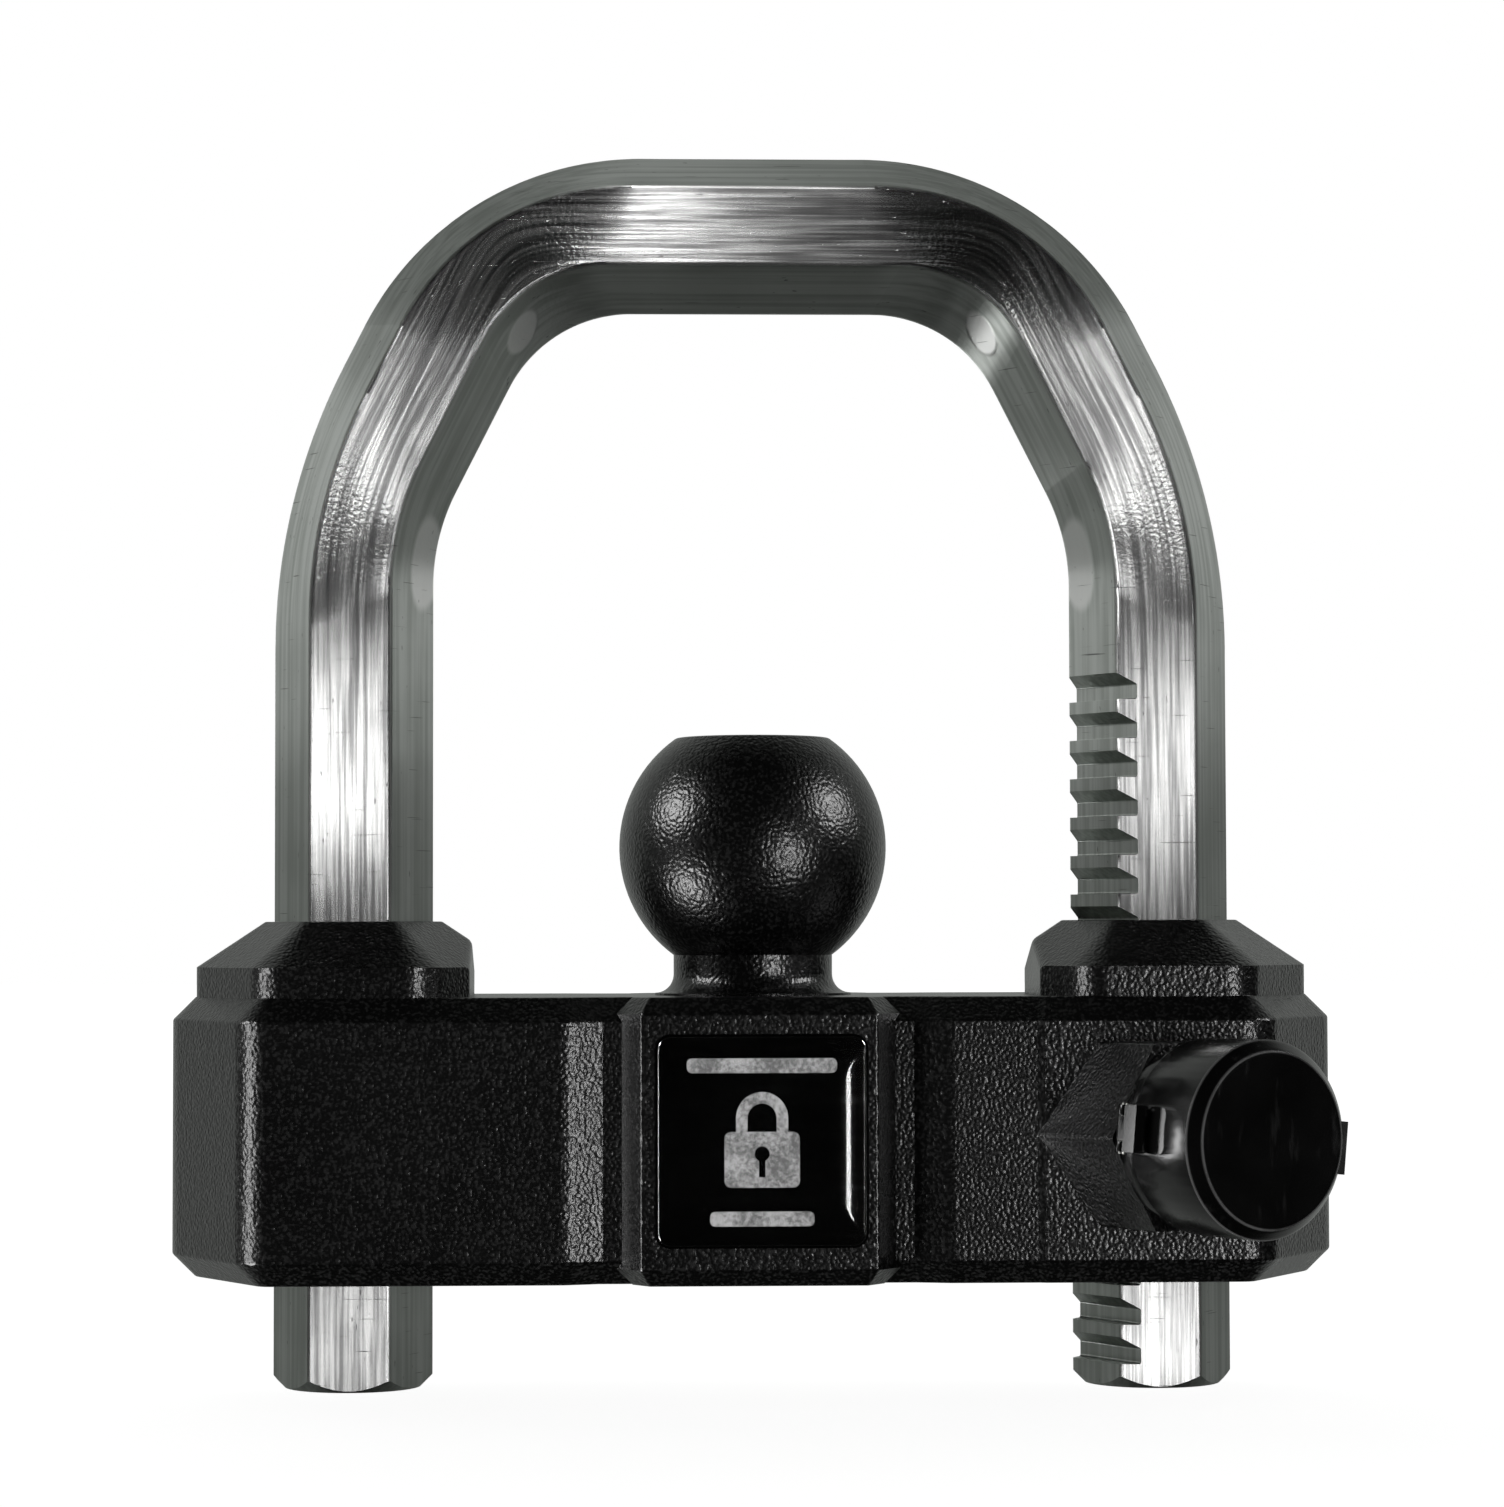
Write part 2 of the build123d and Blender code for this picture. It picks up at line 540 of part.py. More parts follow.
def dust_cap():
    """A cup with a bevelled rim, a dished face, a hinge block on the left and a thumb tab on the right."""
    cup = rod(CAP_R, CAP_REAR, CAP_RIM)
    bevel = Cone(CAP_R, CAP_FACE_R, CAP_FRONT - CAP_RIM, align=(Align.CENTER, Align.CENTER, Align.MIN))
    cup += Pos(0, 0, CAP_RIM) * bevel
    cup += block(0, TAB_X, -TAB_HALF, TAB_HALF, CAP_RIM - 0.2 - TAB_T, CAP_RIM - 0.2)
    cup += block(HINGE_X - KNUCKLE_R, 0, -BLOCK_HALF, BLOCK_HALF, CAP_REAR + 0.1, BLOCK_END)
    cup += block(HINGE_X - KNUCKLE_R, HINGE_X + 1, -KNUCKLE_HALF, KNUCKLE_HALF, HINGE_Z, CAP_REAR + 1)
    cup += hinge_axis_rod(KNUCKLE_R, -KNUCKLE_HALF, KNUCKLE_HALF)
    cup -= rod(CAP_R - CAP_WALL, CAP_REAR - 3, CAP_FRONT - CAP_FACE_T)
    relief = RectangleRounded(RELIEF_END - BLOCK_END, 2 * BLOCK_HALF, RELIEF_CORNER_R)
    relief = extrude(Rot(0, 90, 0) * relief, amount=CAP_R)
    cup -= Pos(-2 * CAP_R + 1, 0, (BLOCK_END + RELIEF_END) / 2) * relief
    dish_r = (CAP_FACE_R - 0.7) ** 2 / 2 / DISH_DEPTH
    cup -= Pos(0, 0, CAP_FRONT - DISH_DEPTH + dish_r) * Rot(90, 0, 0) * Sphere(dish_r)
    return CAP * (cup - hinge_axis_rod(HINGE_PIN_R + FIT, -9, 9))


# ---- Label ----
def label_plate(size, corner_r, near, thickness):
    """A square with rounded corners standing on the label boss, from near outwards."""
    square = RectangleRounded(size, size, corner_r)
    spot = Plane.XZ.offset(BOSS_HALF + near).location
    return Pos(LABEL_X, 0, LABEL_Z) * spot * extrude(square, amount=thickness)


def label_print():
    """A plain padlock sign between two bars."""
    case = Pos(0, -3.2) * RectangleRounded(13, 9.6, 1.2)
    bow = Pos(0, 2.2) * (SlotOverall(12.5, 9, rotation=90) - SlotOverall(8.5, 5, rotation=90))
    hole = Pos(0, -2.2) * Circle(1.3) + Pos(0, -4.4) * Rectangle(1.1, 3.6)
    sign = case + (bow - Pos(0, -4) * Rectangle(12, 8)) - hole
    bars = Pos(0, 13) * RectangleRounded(26, 2.6, 1) + Pos(0, -13.4) * RectangleRounded(18, 2.6, 1)
    spot = Plane.XZ.offset(BOSS_HALF + FOIL_T).location
    return Pos(LABEL_X, 0, LABEL_Z) * spot * extrude(sign + bars, amount=PRINT_T)


def label_dome():
    """The clear resin drop over the print."""
    dome = label_plate(LABEL_SIZE - 2 * DOME_MARGIN, LABEL_CORNER - DOME_MARGIN, FOIL_T, DOME_T)
    front = dome.faces().sort_by(Axis.Y)[0]
    return fillet(front.edges(), DOME_EDGE_R) - label_print()


PARTS = {
    "lock_body": lock_body,
    "tow_ball": tow_ball,
    "ball_screw": ball_screw,
    "ball_washer": ball_washer,
    "shackle": shackle,
    "cylinder_shell": cylinder_shell,
    "lock_plug": lock_plug,
    "wafers": wafers,
    "plug_clip": plug_clip,
    "tail_cam": tail_cam,
    "shell_pin": shell_pin,
    "shell_seal": shell_seal,
    "pawl": pawl,
    "pawl_spring": pawl_spring,
    "cap_ring": cap_ring,
    "hinge_pin": hinge_pin,
    "dust_cap": dust_cap,
    "label_foil": lambda: label_plate(LABEL_SIZE, LABEL_CORNER, 0, FOIL_T),
    "label_print": label_print,
    "label_dome": label_dome,
}

os.makedirs("parts", exist_ok=True)
for name, make in PARTS.items():
    export_step(make(), f"parts/{name}.step")
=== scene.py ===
import json
import math

import bpy
from mathutils import Matrix, Vector


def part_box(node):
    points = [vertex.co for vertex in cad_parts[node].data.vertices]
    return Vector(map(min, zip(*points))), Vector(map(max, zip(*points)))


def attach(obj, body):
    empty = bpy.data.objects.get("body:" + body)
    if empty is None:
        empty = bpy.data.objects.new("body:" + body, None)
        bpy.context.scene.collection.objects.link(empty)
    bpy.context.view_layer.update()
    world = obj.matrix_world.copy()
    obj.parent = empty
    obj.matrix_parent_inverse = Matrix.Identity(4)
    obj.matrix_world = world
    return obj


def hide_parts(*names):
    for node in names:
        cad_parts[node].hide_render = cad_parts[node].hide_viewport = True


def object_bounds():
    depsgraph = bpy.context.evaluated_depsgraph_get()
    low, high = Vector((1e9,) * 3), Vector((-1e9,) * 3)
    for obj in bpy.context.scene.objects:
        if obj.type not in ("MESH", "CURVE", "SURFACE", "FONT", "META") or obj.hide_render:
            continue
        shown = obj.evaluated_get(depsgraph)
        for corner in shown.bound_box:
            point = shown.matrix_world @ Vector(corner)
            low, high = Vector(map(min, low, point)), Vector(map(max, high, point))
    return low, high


# A universal trailer coupler lock, seen from its label side. Everything is in metres, in the frame of the
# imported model: the origin is the tow ball's centre, +X right, +Y to the back, +Z up.
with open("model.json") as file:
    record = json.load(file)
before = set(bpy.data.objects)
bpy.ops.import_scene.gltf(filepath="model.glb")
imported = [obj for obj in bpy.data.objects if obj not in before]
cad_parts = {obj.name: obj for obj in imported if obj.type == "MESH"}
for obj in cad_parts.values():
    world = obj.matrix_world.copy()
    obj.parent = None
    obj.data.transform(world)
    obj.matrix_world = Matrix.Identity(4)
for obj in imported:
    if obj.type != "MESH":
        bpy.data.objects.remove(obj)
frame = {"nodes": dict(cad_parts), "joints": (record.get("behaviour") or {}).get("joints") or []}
NODES = frame["nodes"]
CAD_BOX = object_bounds()
MM = 0.001

# ---- The shackle's path, which the brushed finish follows: two legs, two slants and a top ----
BAR_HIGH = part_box("shackle")[1]
BAR_HALF = BAR_HIGH.y                               # half the bar's width across its flats
BAR_CORNER = BAR_HALF / math.cos(math.radians(30))
LEG_X = BAR_HIGH.x - BAR_CORNER
TOP_Z = BAR_HIGH.z - BAR_CORNER
KNEE = Vector((LEG_X, 59.5 * MM))                   # where the leg's centreline meets the slant's
SHOULDER = Vector((45.6 * MM, TOP_Z))
KNEE_RADII = (114 * MM, 38 * MM)                    # bend radii of the outer and the inner corner
SHOULDER_RADII = (56 * MM, 25 * MM)
LEAN = math.atan2(KNEE.x - SHOULDER.x, SHOULDER.y - KNEE.y)

CAP_RIM = 28.3 * MM                                 # where the cap's bevel starts, out from the plug's joint
CAP_FACE_R = 14.9 * MM                              # and its radius where it ends
CAP_BEVEL = 1.2 * MM                                # a way into the bevel, which tells its edges apart

DIE_MARKS = (                                       # centre, lean from upright, half length, half width
    (Vector((58.5 * MM, 51 * MM)), math.radians(6), 9 * MM, 2.6 * MM),
    (Vector((41.2 * MM, 92.4 * MM)), math.radians(32), 4.5 * MM, 1.9 * MM),
)

# ---- The label's drop of clear resin ----
DROP_RIM = 0.35 * MM                                # the drop's upright edge
DROP_EDGE_R = 0.28 * MM
DROP_EDGE_STEPS = 6
DROP_REACH = 7.0 * MM                               # from the edge to where the drop is flat
DROP_RINGS = 20
DROP_CORNER = 2.2 * MM
DROP_CORNER_GROWTH = 0.25                           # how fast the corners grow as the rings shrink
DROP_GAP = 0.02 * MM

# ---- The camera: a long lens, close to level, a little to the left of the middle ----
CAMERA_LENS = 99.36                                 # mm, on a 36 mm sensor
CAMERA_PLACE = (-0.02711, -0.74897, -0.01552)
CAMERA_TURN = (-2.069, 2.48, 0.136)                 # degrees: to the left, upwards and roll


# ======================================================================== shader building
class Shader:
    """A material's node tree, with short ways to add and join nodes."""

    def __init__(self, owner):
        owner.use_nodes = True
        self.owner = owner
        self.tree = owner.node_tree
        self.bsdf = self.tree.nodes.get("Principled BSDF")

    @classmethod
    def named(cls, name):
        return cls(bpy.data.materials.new(name))

    def node(self, kind, inputs=None, **settings):
        """Adds a node with these settings. Each input is joined if it is a socket, or else set."""
        n = self.tree.nodes.new("ShaderNode" + kind)
        for name, value in settings.items():
            setattr(n, name, value)
        for key, value in (inputs or {}).items():
            self.feed(n.inputs[key], value)
        return n

    def feed(self, socket, value):
        if isinstance(value, bpy.types.NodeSocket):
            self.tree.links.new(value, socket)
        else:
            socket.default_value = value

    def math(self, operation, a, b=0.0, c=0.0):
        return self.node("Math", {0: a, 1: b, 2: c}, operation=operation).outputs[0]

    def vector(self, x, y, z):
        return self.node("CombineXYZ", {0: x, 1: y, 2: z}).outputs[0]

    def weighted(self, a, a_share, b, b_share):
        """a and b added up, each times its share."""
        return self.math("MULTIPLY_ADD", a, a_share, self.math("MULTIPLY", b, b_share))

    def coords(self):
        """The point's position at rest."""
        return self.node("TexCoord").outputs["Object"]

    def place(self):
        """The point's position at rest, as x, y and z."""
        return self.node("SeparateXYZ", {0: self.coords()}).outputs

    def stretched(self, scale, rotation=(0, 0, 0)):
        """The point's position, turned and then scaled by x, y and z."""
        inputs = {"Vector": self.coords(), "Rotation": rotation, "Scale": scale}
        return self.node("Mapping", inputs).outputs[0]

    def span(self, value, low, high, to_low=0.0, to_high=1.0):
        """to_low where value is low or less, to_high where it is high or more, and smooth in between."""
        inputs = {0: value, 1: low, 2: high, 3: to_low, 4: to_high}
        return self.node("MapRange", inputs, interpolation_type="SMOOTHSTEP").outputs[0]

    def noise(self, vector, scale, detail=2.0, w=None, rough=0.5):
        inputs = {"Vector": vector, "Scale": scale, "Detail": detail, "Roughness": rough}
        if w is None:
            return self.node("TexNoise", inputs).outputs["Fac"]
        inputs["W"] = w
        return self.node("TexNoise", inputs, noise_dimensions="4D").outputs["Fac"]

    def mix(self, factor, a, b):
        n = self.node("Mix", data_type="RGBA")
        self.feed(n.inputs[0], factor)
        self.feed(n.inputs[6], a)
        self.feed(n.inputs[7], b)
        return n.outputs[2]

    def bump(self, height, distance, strength=1.0, normal=None):
        inputs = {"Height": height, "Distance": distance, "Strength": strength}
        if normal is not None:
            inputs["Normal"] = normal
        return self.node("Bump", inputs).outputs[0]

    def set(self, **sockets):
        """Sets or joins the shader's own sockets, named with _ for a space."""
        for name, value in sockets.items():
            self.feed(self.bsdf.inputs[name.replace("_", " ")], value)
        return self.owner


def grey(value):
    return (value, value, value, 1.0)


# ======================================================================== the brushed shackle
def bend_lines(corner, before, after, radii):
    """Where a bend starts and ends, as two lines across the bar: each is a point and a normal.

    corner is the centreline's corner on the right side, before and after the directions of travel there.
    """
    turn = before.angle(after)
    outward = (Vector((before.y, -before.x)) + Vector((after.y, -after.x))) / (1 + math.cos(turn))
    ends = []
    for sign, radius in zip((1, -1), radii):
        point = corner + outward * sign * BAR_CORNER
        reach = radius * math.tan(turn / 2)
        ends.append((point - before * reach, point + after * reach))
    return [line_through(ends[0][i], ends[1][i]) for i in (0, 1)]


def line_through(a, b):
    """A point of the line through a and b, and the unit normal that faces along the bar."""
    along = (a - b).normalized()
    normal = Vector((-along.y, along.x))
    return a, normal


def bend_share(s, x, z, corner, before, after, radii):
    """0 before a bend, 1 after it, and in between the share of the turn already made."""
    (p, n), (q, m) = bend_lines(corner, before, after, radii)
    past_start = plane_distance(s, x, z, p, n)
    past_end = plane_distance(s, x, z, q, m)
    width = s.math("MAXIMUM", s.math("SUBTRACT", past_start, past_end), MM)
    return s.node("Clamp", {0: s.math("DIVIDE", past_start, width)}).outputs[0]


def plane_distance(s, x, z, point, normal):
    across = s.math("MULTIPLY", s.math("SUBTRACT", x, point.x), normal.x)
    return s.math("MULTIPLY_ADD", s.math("SUBTRACT", z, point.y), normal.y, across)


def along_bar(s):
    """The brushing's direction, the offset across the bar, and how far each bend has turned."""
    x, _, z = s.place()
    side = s.math("ABSOLUTE", x)
    up = Vector((0, 1))
    slant = Vector((-math.sin(LEAN), math.cos(LEAN)))
    inward = Vector((-1, 0))
    knee = bend_share(s, side, z, KNEE, up, slant, KNEE_RADII)
    shoulder = bend_share(s, side, z, SHOULDER, slant, inward, SHOULDER_RADII)
    angle = s.math("MULTIPLY", knee, LEAN)
    angle = s.math("MULTIPLY_ADD", shoulder, math.pi / 2 - LEAN, angle)
    sideways = s.math("MULTIPLY", s.math("SINE", angle), s.math("SIGN", x))
    direction = s.vector(s.math("MULTIPLY", sideways, -1.0), 0.0, s.math("COSINE", angle))
    offsets = [
        plane_distance(s, side, z, KNEE, Vector((1, 0))),
        plane_distance(s, side, z, KNEE, Vector((math.cos(LEAN), math.sin(LEAN)))),
        plane_distance(s, side, z, SHOULDER, Vector((0, 1))),
    ]
    blend = 12 * MM
    offset = s.math("SMOOTH_MAX", offsets[0], offsets[1], blend)
    offset = s.math("SMOOTH_MAX", offset, offsets[2], blend)
    return direction, offset, knee, shoulder


def hump(s, share):
    """0 where a bend hasn't begun or is over, 1 in its middle, with soft starts and ends."""
    left = s.math("SUBTRACT", 1.0, share)
    arch = s.math("MULTIPLY", s.math("MULTIPLY", share, left), 4.0)
    return s.math("MULTIPLY", arch, arch)


def die_mark(s, side, z, centre, lean, half_length, half_width):
    """1 inside an oval mark that the bending die left, and 0 outside it."""
    along = plane_distance(s, side, z, centre, Vector((-math.sin(lean), math.cos(lean))))
    across = plane_distance(s, side, z, centre, Vector((math.cos(lean), math.sin(lean))))
    oval = s.vector(s.math("DIVIDE", along, half_length), s.math("DIVIDE", across, half_width), 0.0)
    radius = s.node("VectorMath", {0: oval}, operation="LENGTH").outputs["Value"]
    return s.span(radius, 0.8, 1.05, 1.0, 0.0)


def streaks(s, offset, width, length, detail=2.0):
    """Brush marks of about this width and length, which follow the bar round its bends."""
    x, y, z = s.place()
    across = s.math("DIVIDE", offset, width)
    vector = s.vector(across, s.math("DIVIDE", x, length), s.math("DIVIDE", z, length))
    return s.noise(vector, 1.0, detail, w=s.math("DIVIDE", y, width))


def brushed_bar():
    """Stainless bar: brushed along its length on the front and back, smoother and drawn on the slants."""
    s = Shader.named("brushed_stainless")
    x, _, z = s.place()
    side = s.math("ABSOLUTE", x)
    direction, offset, knee, shoulder = along_bar(s)
    normal = s.node("SeparateXYZ", {0: s.node("NewGeometry").outputs["Normal"]}).outputs
    facing = s.math("ABSOLUTE", normal[1])
    flat = s.span(facing, 0.80, 0.97)                       # 1 on the front and back faces
    bent = s.math("MAXIMUM", hump(s, knee), hump(s, shoulder))

    fine = streaks(s, offset, 0.45 * MM, 18 * MM, 1.0)
    coarse = streaks(s, offset, 0.9 * MM, 30 * MM)
    broad = streaks(s, offset, 3.0 * MM, 45 * MM)
    drawn = streaks(s, offset, 1.2 * MM, 70 * MM)
    pebble = s.noise(s.coords(), 1300.0, 2.0)
    cloud = s.noise(s.coords(), 60.0, 3.0)
    scratch = s.span(s.noise(s.stretched((90, 90, 3500), (0, 0.6, 0)), 1.0, 1.0), 0.735, 0.77)
    nick = s.span(streaks(s, offset, 0.45 * MM, 1.6 * MM, 0.0), 0.80, 0.86)
    marks = [die_mark(s, side, z, *mark) for mark in DIE_MARKS]
    die = s.math("MULTIPLY", s.math("ADD", *marks), s.math("SUBTRACT", 1.0, flat))

    lines = s.math("MULTIPLY_ADD", fine, 0.45, s.weighted(coarse, 0.35, broad, 0.20))
    tone = s.weighted(cloud, 0.18, lines, 0.82)
    brushed = s.mix(s.span(tone, 0.40, 0.60), grey(0.30), (0.95, 0.95, 0.94, 1))
    dull = s.weighted(drawn, 0.7, cloud, 0.3)
    drawn_tone = s.mix(s.span(dull, 0.36, 0.64), (0.46, 0.49, 0.46, 1), (0.66, 0.69, 0.66, 1))
    drawn_tone = s.mix(s.math("MULTIPLY", die, 0.9), drawn_tone, (0.95, 0.96, 0.94, 1))
    colour = s.mix(flat, drawn_tone, brushed)
    worn = s.math("MULTIPLY", s.math("MAXIMUM", scratch, nick), 0.75)
    colour = s.mix(worn, colour, grey(0.10))

    drawn_rough = 0.34
    flat_rough = s.math("MULTIPLY_ADD", lines, 0.14, 0.155)
    rough = s.node("Mix", {0: flat, 2: drawn_rough, 3: flat_rough}).outputs[0]

    # Bending draws the outer half of each face in, so the face leans outwards there.
    dish = s.math("MULTIPLY", s.math("MULTIPLY", offset, bent), flat)
    bumped = s.bump(dish, -0.05, 1.0)
    grain = s.math("MULTIPLY", s.math("MULTIPLY", pebble, bent), 0.5)
    height = s.math("MULTIPLY_ADD", lines, s.math("MULTIPLY_ADD", flat, 0.8, 0.2), grain)
    height = s.math("MULTIPLY_ADD", worn, -0.6, height)
    height = s.math("MULTIPLY_ADD", die, -1.2, height)
    bumped = s.bump(height, 0.05 * MM, 1.0, bumped)
    return s.set(Base_Color=colour, Metallic=1.0, Roughness=rough, Anisotropic=0.98,
                 Anisotropic_Rotation=0.25, Tangent=direction, Normal=bumped)


# ======================================================================== black finishes
def powder_coat():
    """Near-black powder coat: a fine pebbled skin that glitters in side light, with slow changes of gloss."""
    s = Shader.named("black_powder_coat")
    coords = s.coords()
    pebble = s.noise(coords, 1600.0, 0.5)
    slow = s.noise(coords, 40.0, 3.0)
    colour = s.mix(s.span(pebble, 0.50, 0.70), grey(0.0004), grey(0.006))
    rough = s.math("MULTIPLY_ADD", slow, 0.08, 0.24)
    return s.set(Base_Color=colour, Roughness=rough, Specular_IOR_Level=0.5,
                 Normal=s.bump(pebble, 0.15 * MM, 1.0))


def cap_edge_highlight(s):
    """1 on the two round edges of the cap's bevelled rim, where a pale line is painted in as a highlight, and
    0 elsewhere.
    """
    lock = next(joint for joint in frame["joints"] if joint["name"] == "plug_turn")
    outwards = -Vector(lock["axis"])
    offset = s.node("VectorMath", {0: s.coords(), 1: Vector(lock["pos_m"])}, operation="SUBTRACT").outputs[0]
    along = s.node("VectorMath", {0: offset, 1: outwards}, operation="DOT_PRODUCT").outputs["Value"]
    foot = s.node("VectorMath", {0: outwards, "Scale": along}, operation="SCALE").outputs[0]
    radius = s.node("VectorMath", {0: offset, 1: foot}, operation="DISTANCE").outputs["Value"]
    from_face = s.math("ABSOLUTE", s.math("SUBTRACT", radius, CAP_FACE_R))
    from_rim = s.math("ABSOLUTE", s.math("SUBTRACT", along, CAP_RIM))
    face_edge = s.span(from_face, 0.05 * MM, 0.32 * MM, 1.0, 0.0)
    face_edge = s.math("MULTIPLY", face_edge, s.math("GREATER_THAN", along, CAP_RIM + CAP_BEVEL))
    rim_edge = s.span(from_rim, 0.05 * MM, 0.30 * MM, 1.0, 0.0)
    rim_edge = s.math("MULTIPLY", rim_edge, s.math("GREATER_THAN", radius, CAP_FACE_R + CAP_BEVEL))
    return s.math("MAXIMUM", face_edge, rim_edge)


def black_plastic():
    """Moulded semi-gloss plastic with faint flow marks, handling scuffs and a painted highlight along the
    rim's two edges.
    """
    s = Shader.named("black_plastic")
    coords = s.coords()
    flow = s.noise(coords, 120.0, 4.0)
    skin = s.noise(coords, 2200.0, 2.0)
    scuff = s.noise(s.stretched((500, 500, 120)), 1.0, 4.0)
    worn = s.span(scuff, 0.58, 0.75)
    colour = s.mix(worn, grey(0.0006), grey(0.003))
    # Painted highlight: pale lines along the rim's two round edges, patchy with the flow marks.
    edge_highlight = s.math("MULTIPLY", cap_edge_highlight(s), s.span(flow, 0.30, 0.60, 0.35, 1.0))
    colour = s.mix(edge_highlight, colour, grey(0.05))
    rough = s.math("MULTIPLY_ADD", flow, 0.12, s.math("MULTIPLY_ADD", worn, 0.06, 0.16))
    return s.set(Base_Color=colour, Roughness=rough, Specular_IOR_Level=0.5,
                 Normal=s.bump(skin, 0.012 * MM, 0.6))


def rubber():
    """Black rubber with a pale bloom."""
    s = Shader.named("seal_rubber")
    coords = s.coords()
    bloom = s.noise(coords, 300.0, 4.0)
    colour = s.mix(s.span(bloom, 0.4, 0.7), grey(0.010), grey(0.030))
    rough = s.math("MULTIPLY_ADD", bloom, 0.25, 0.6)
    return s.set(Base_Color=colour, Roughness=rough, Normal=s.bump(s.noise(coords, 4000.0), 0.02 * MM, 0.5))


# ======================================================================== hidden metals
def turned_metal(name, dark, light, rough, grain):
    """Metal with tool marks, slow stains and nicks. A low grain draws the marks out along z."""
    s = Shader.named(name)
    coords = s.coords()
    marks = s.noise(s.stretched((500, 500, grain)), 1.0, 4.0)
    stain = s.noise(coords, 180.0, 4.0)
    nicks = s.span(s.noise(coords, 900.0, 1.0), 0.70, 0.74)
    tone = s.weighted(marks, 0.5, stain, 0.5)
    colour = s.mix(s.span(tone, 0.35, 0.65), dark, light)
    roughness = s.math("MULTIPLY_ADD", marks, 0.2, rough)
    height = s.math("SUBTRACT", marks, nicks)
    return s.set(Base_Color=colour, Metallic=1.0, Roughness=roughness,
                 Normal=s.bump(height, 0.02 * MM, 0.6))


# ======================================================================== the label
def foil():
    """The label's black base, faintly flecked."""
    s = Shader.named("label_foil")
    coords = s.coords()
    fleck = s.noise(coords, 1800.0, 2.0)
    slow = s.noise(coords, 70.0, 3.0)
    colour = s.mix(s.span(slow, 0.3, 0.7), grey(0.0003), grey(0.001))
    rough = s.math("MULTIPLY_ADD", fleck, 0.15, 0.60)
    return s.set(Base_Color=colour, Roughness=rough, Specular_IOR_Level=0.0,
                 Normal=s.bump(fleck, 0.01 * MM, 0.3))


def silver_print():
    """Printed silver: mottled, with worn and smudged places."""
    s = Shader.named("label_silver")
    coords = s.coords()
    mottle = s.noise(coords, 1300.0, 4.0, rough=0.65)
    smudge = s.noise(coords, 160.0, 3.0)
    tone = s.weighted(mottle, 0.6, smudge, 0.5)
    colour = s.mix(s.span(tone, 0.42, 0.68), grey(0.09), grey(0.34))
    rough = s.math("MULTIPLY_ADD", mottle, 0.2, 0.42)
    return s.set(Base_Color=colour, Roughness=rough, Normal=s.bump(mottle, 0.01 * MM, 0.3))


def clear_resin():
    """The label's clear resin, with faint wipe marks. Lamps shine through it onto the print."""
    s = Shader.named("clear_resin")
    wipe = s.noise(s.stretched((60, 60, 600)), 1.0, 3.0)
    rough = s.span(wipe, 0.45, 0.75, 0.05, 0.09)
    s.set(Base_Color=grey(0.98), Roughness=rough, IOR=1.5, Transmission_Weight=1.0)
    lamp_ray = s.node("LightPath").outputs["Is Shadow Ray"]
    through = s.node("BsdfTransparent").outputs[0]
    mixed = s.node("MixShader", {0: lamp_ray, 1: s.bsdf.outputs[0], 2: through}).outputs[0]
    s.tree.links.new(mixed, s.tree.nodes["Material Output"].inputs[0])
    return s.owner


def rounded_square(half, corner, steps=12):
    """Points round a square with rounded corners, the same number whatever its size."""
    points = []
    for turn, (u, v) in enumerate(((1, 1), (-1, 1), (-1, -1), (1, -1))):
        for i in range(steps + 1):
            angle = math.pi / 2 * (turn + i / steps)
            points.append((u * (half - corner) + corner * math.cos(angle),
                           v * (half - corner) + corner * math.sin(angle)))
    return points


def drop_profile(crown):
    """The drop's section as (inset, height) steps: an upright rim, a round edge and a crown this high."""
    levels = [(0.0, 0.0)]
    for i in range(DROP_EDGE_STEPS):
        angle = math.pi / 2 * i / DROP_EDGE_STEPS
        levels.append((DROP_EDGE_R * (1 - math.cos(angle)), DROP_RIM - DROP_EDGE_R * (1 - math.sin(angle))))
    for i in range(1, DROP_RINGS + 1):
        inset = DROP_REACH * i / DROP_RINGS
        levels.append((inset, DROP_RIM + crown * (1 - (1 - inset / DROP_REACH) ** 2)))
    return levels


def resin_drop(resin):
    """The label's crowned drop of clear resin: steep at its edge and flat in the middle."""
    low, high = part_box("label_dome")
    middle = (low + high) / 2
    half = (high.x - low.x) / 2
    base_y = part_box("label_print")[0].y - DROP_GAP
    levels = drop_profile(base_y - low.y - DROP_RIM)
    verts = []
    for inset, height in levels:
        for u, v in rounded_square(half - inset, DROP_CORNER + DROP_CORNER_GROWTH * inset):
            verts.append((middle.x + u, base_y - height, middle.z + v))
    count = len(verts) // len(levels)
    faces = [tuple(range(count)), tuple(reversed(range(len(verts) - count, len(verts))))]
    for level in range(len(levels) - 1):
        for i in range(count):
            a = level * count + i
            b = level * count + (i + 1) % count
            faces.append((b, a, a + count, b + count))
    mesh = bpy.data.meshes.new("label_drop")
    mesh.from_pydata(verts, [], faces)
    mesh.shade_smooth()
    mesh.set_sharp_from_angle(angle=math.radians(40))
    drop = bpy.data.objects.new("label_drop", mesh)
    bpy.context.scene.collection.objects.link(drop)
    drop.data.materials.append(resin)
    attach(drop, "body")
    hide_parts("label_dome")
    return drop


def soften(name, width, angle):
    """Rounds a node's sharp edges a little, as moulding or coating does."""
    weld = NODES[name].modifiers.new("weld", "WELD")
    weld.merge_threshold = 0.001 * MM
    bevel = NODES[name].modifiers.new("soft_edges", "BEVEL")
    bevel.width = width
    bevel.segments = 3
    bevel.limit_method = "ANGLE"
    bevel.angle_limit = math.radians(angle)
    bevel.harden_normals = True


def paint(material, *names):
    """Gives these CAD nodes a material in place of their own."""
    for name in names:
        slots = NODES[name].data.materials
        slots.clear()
        slots.append(material)


